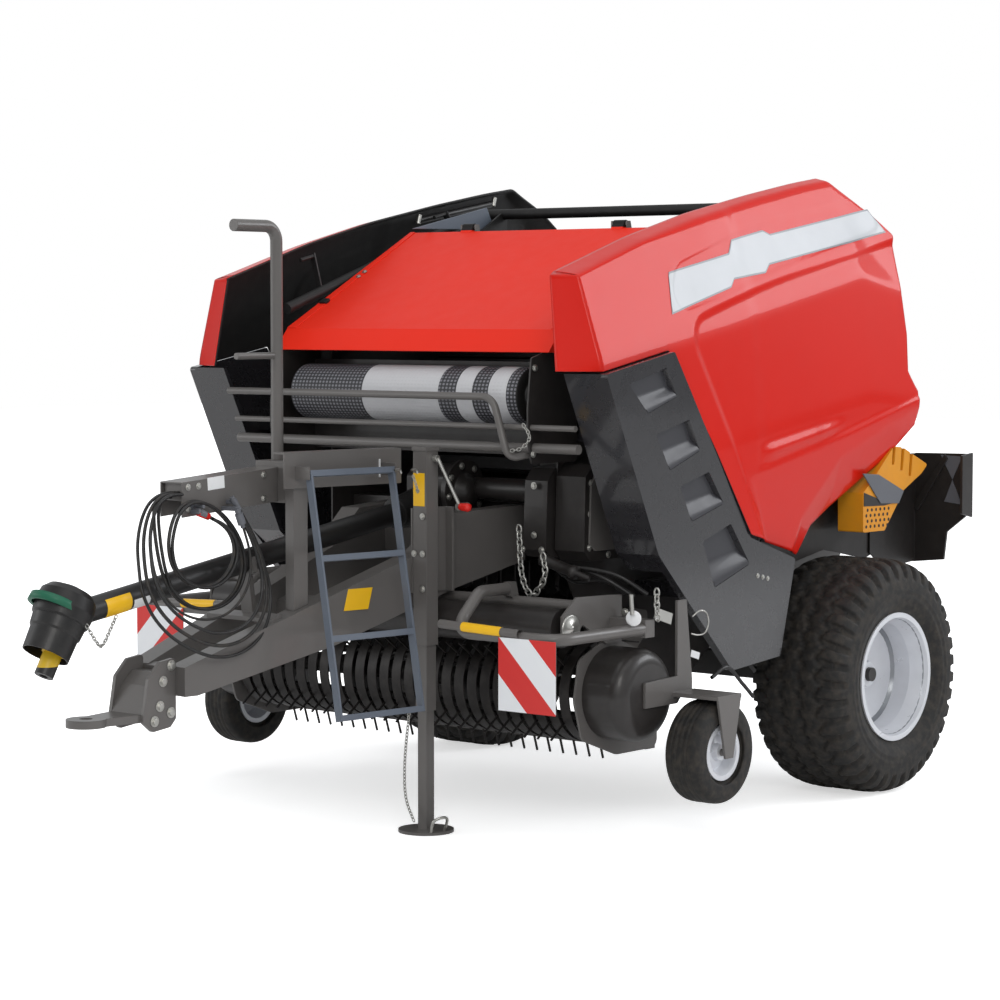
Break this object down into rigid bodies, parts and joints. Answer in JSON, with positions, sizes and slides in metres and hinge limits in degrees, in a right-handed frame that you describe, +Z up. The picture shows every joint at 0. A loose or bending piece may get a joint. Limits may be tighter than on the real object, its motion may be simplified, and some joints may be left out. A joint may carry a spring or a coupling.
{
  "type": "round baler",
  "caption": "Towed round baler with a roller chamber, tined pick-up, red side covers, net roll, drawbar with a jack, ladder and drive shaft.",
  "frame": {"origin": "on the ground under the middle of the machine's outline", "axes": "+X to the machine's left, +Y rearward, +Z up"},
  "size_m": [2.763, 4.5656, 2.655],
  "materials": {
    "frame": "satin dark grey paint",
    "column": "matt charcoal moulding",
    "red": "glossy red",
    "ladder": "satin blue-grey paint",
    "tyre": "dusty black",
    "rim": "silver paint",
    "steel": "worn bare steel",
    "black": "matt black",
    "board": "white with red stripes",
    "yellow": "matt yellow",
    "net": "white net film",
    "hose": "matt black"
  },
  "bodies": {
    "chassis": {"axle": "frame", "chamber_walls": "frame", "columns": "column", "couplings": "steel", "cross_beams": "frame", "drawbar": "frame", "drive_case": "frame", "front_bars": "black", "front_rollers": "steel", "gearbox": "frame", "handrail": "ladder", "hitch": "frame", "hose_arm": "frame", "hose_cable": "hose", "hose_thick": "hose", "hose_twin": "hose", "jack_crank": "frame", "jack_housing": "frame", "light_brackets": "frame", "net_box": "frame", "pin_brackets": "frame", "platform": "frame", "pto_guard": "black", "pto_shaft": "black", "side_plates": "frame", "top_frame": "frame", "wheel_chocks": "yellow"},
    "wheel_left": {"tyre_left": "tyre", "rim_left": "rim"},
    "wheel_right": {"tyre_right": "tyre", "rim_right": "rim"},
    "gauge_left": {"gauge_tyre_left": "tyre", "gauge_rim_left": "rim"},
    "gauge_right": {"gauge_tyre_right": "tyre", "gauge_rim_right": "rim"},
    "pickup": {"pickup_frame": "frame", "strippers": "steel", "pickup_drums": "ladder", "wind_guard": "frame", "guard_tube": "black", "warning_boards": "board", "gauge_forks": "ladder"},
    "reel": {"reel": "steel"},
    "crop_roller": {"crop_roller": "steel"},
    "feed_rotor": {"feed_rotor": "steel"},
    "net_roll": {"net_roll": "net"},
    "tailgate": {"tailgate_walls": "frame", "tailgate_beams": "frame", "tailgate_rollers": "steel"},
    "ram_barrel_left": {"ram_barrel_left": "frame"},
    "ram_barrel_right": {"ram_barrel_right": "frame"},
    "ram_rod_left": {"ram_rod_left": "steel"},
    "ram_rod_right": {"ram_rod_right": "steel"},
    "side_cover_left": {"side_cover_left": "red"},
    "side_cover_right": {"side_cover_right": "red"},
    "hood": {"hood": "red"},
    "ladder": {"ladder": "ladder"},
    "jack_leg": {"jack_leg": "frame"}
  },
  "joints": [
    {"name": "wheel_left_spin", "type": "hinge", "parent": "chassis", "child": "wheel_left", "pos_m": [1.076, 1.515, 0.508], "axis": [1, 0, 0], "continuous": true},
    {"name": "wheel_right_spin", "type": "hinge", "parent": "chassis", "child": "wheel_right", "pos_m": [-1.076, 1.515, 0.508], "axis": [1, 0, 0], "continuous": true},
    {"name": "pickup_lift", "type": "hinge", "parent": "chassis", "child": "pickup", "pos_m": [0, 0.515, 0.78], "axis": [1, 0, 0], "range_deg": [0, 18]},
    {"name": "gauge_left_spin", "type": "hinge", "parent": "pickup", "child": "gauge_left", "pos_m": [1.283, 0.135, 0.345], "axis": [1, 0, 0], "continuous": true},
    {"name": "gauge_right_spin", "type": "hinge", "parent": "pickup", "child": "gauge_right", "pos_m": [-1.283, 0.135, 0.345], "axis": [1, 0, 0], "continuous": true},
    {"name": "reel_spin", "type": "hinge", "parent": "pickup", "child": "reel", "pos_m": [0, -0.085, 0.575], "axis": [1, 0, 0], "continuous": true},
    {"name": "crop_roller_spin", "type": "hinge", "parent": "pickup", "child": "crop_roller", "pos_m": [0, -0.353, 0.85], "axis": [1, 0, 0], "continuous": true},
    {"name": "feed_rotor_spin", "type": "hinge", "parent": "chassis", "child": "feed_rotor", "pos_m": [0, 0.515, 0.78], "axis": [1, 0, 0], "continuous": true},
    {"name": "net_roll_spin", "type": "hinge", "parent": "chassis", "child": "net_roll", "pos_m": [0, -0.15, 1.747], "axis": [1, 0, 0], "continuous": true},
    {"name": "tailgate_lift", "type": "hinge", "parent": "chassis", "child": "tailgate", "pos_m": [0, 1.415, 2.4], "axis": [1, 0, 0], "range_deg": [0, 70]},
    {"name": "ram_left_tilt", "type": "hinge", "parent": "chassis", "child": "ram_barrel_left", "pos_m": [0.696, 0.895, 1.25], "axis": [1, 0, 0], "range_deg": [0, 10]},
    {"name": "ram_left_stroke", "type": "slide", "parent": "ram_barrel_left", "child": "ram_rod_left", "axis": [0, 0.6935, 0.7205], "range_m": [0, 0.47]},
    {"name": "cover_left_lift", "type": "hinge", "parent": "chassis", "child": "side_cover_left", "pos_m": [0.838, 0.515, 2.41885], "axis": [0, -0.974, -0.2267], "range_deg": [0, 60]},
    {"name": "ram_right_tilt", "type": "hinge", "parent": "chassis", "child": "ram_barrel_right", "pos_m": [-0.696, 0.895, 1.25], "axis": [1, 0, 0], "range_deg": [0, 10]},
    {"name": "ram_right_stroke", "type": "slide", "parent": "ram_barrel_right", "child": "ram_rod_right", "axis": [0, 0.6935, 0.7205], "range_m": [0, 0.47]},
    {"name": "cover_right_lift", "type": "hinge", "parent": "chassis", "child": "side_cover_right", "pos_m": [-0.838, 0.515, 2.41885], "axis": [0, 0.974, 0.2267], "range_deg": [0, 60]},
    {"name": "hood_lift", "type": "hinge", "parent": "chassis", "child": "hood", "pos_m": [0, 0.679, 2.456], "axis": [-1, 0, 0], "range_deg": [0, 60]},
    {"name": "ladder_fold", "type": "hinge", "parent": "chassis", "child": "ladder", "pos_m": [0.26916, -1.09467, 1.46133], "axis": [-0.1168, -0.9932, 0], "range_deg": [0, 75]},
    {"name": "jack_leg_slide", "type": "slide", "parent": "chassis", "child": "jack_leg", "axis": [0, 0, 1], "range_m": [0, 0.3]}
  ],
  "couplings": [
    {"joint": "ram_left_tilt", "follows": "tailgate_lift", "ratio": 0.1065},
    {"joint": "ram_left_stroke", "follows": "tailgate_lift", "m_per_rad": 0.3786},
    {"joint": "ram_right_tilt", "follows": "tailgate_lift", "ratio": 0.1065},
    {"joint": "ram_right_stroke", "follows": "tailgate_lift", "m_per_rad": 0.3786}
  ]
}
